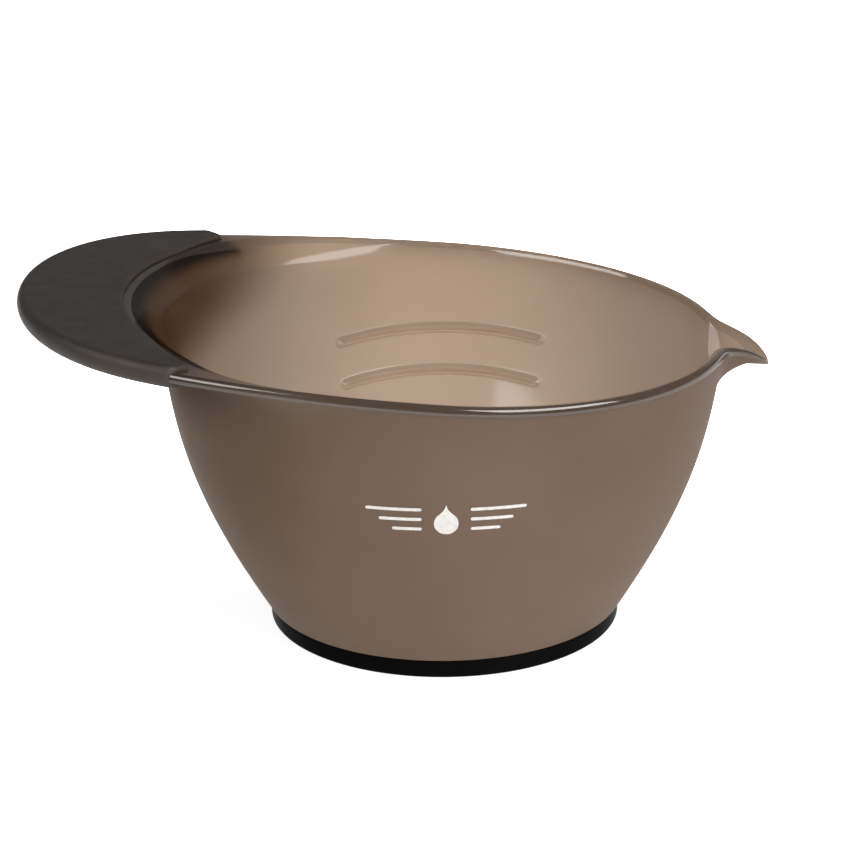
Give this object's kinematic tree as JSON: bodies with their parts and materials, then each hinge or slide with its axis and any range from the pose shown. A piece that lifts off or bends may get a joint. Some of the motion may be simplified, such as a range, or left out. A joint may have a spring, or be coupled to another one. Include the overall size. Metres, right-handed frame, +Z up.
{
  "type": "hair color mixing bowl",
  "caption": "Round smoky plastic mixing bowl with a sloping rim, a pinched pouring spout, a soft crescent grip and a rubber foot ring.",
  "frame": {"origin": "on the axis of the round bowl, on the surface that the bowl stands on", "axes": "+Z up along the bowl's axis; +X towards the pouring spout, so the handle is on -X; +Y towards the wall with the level ribs; the printed mark is on -Y"},
  "size_m": [0.1849, 0.14, 0.0883],
  "materials": {
    "smoky_plastic": "translucent smoky brown plastic, satin outside and glossy inside",
    "soft_grip": "matte soft-touch rubber with a fine grain",
    "foot_rubber": "smooth black rubber with a slight sheen",
    "mark_ink": "pad-printed white ink"
  },
  "bodies": {
    "root": {"bowl_shell": "smoky_plastic", "handle_grip": "soft_grip", "foot_ring": "foot_rubber", "front_mark": "mark_ink"}
  },
  "joints": []
}
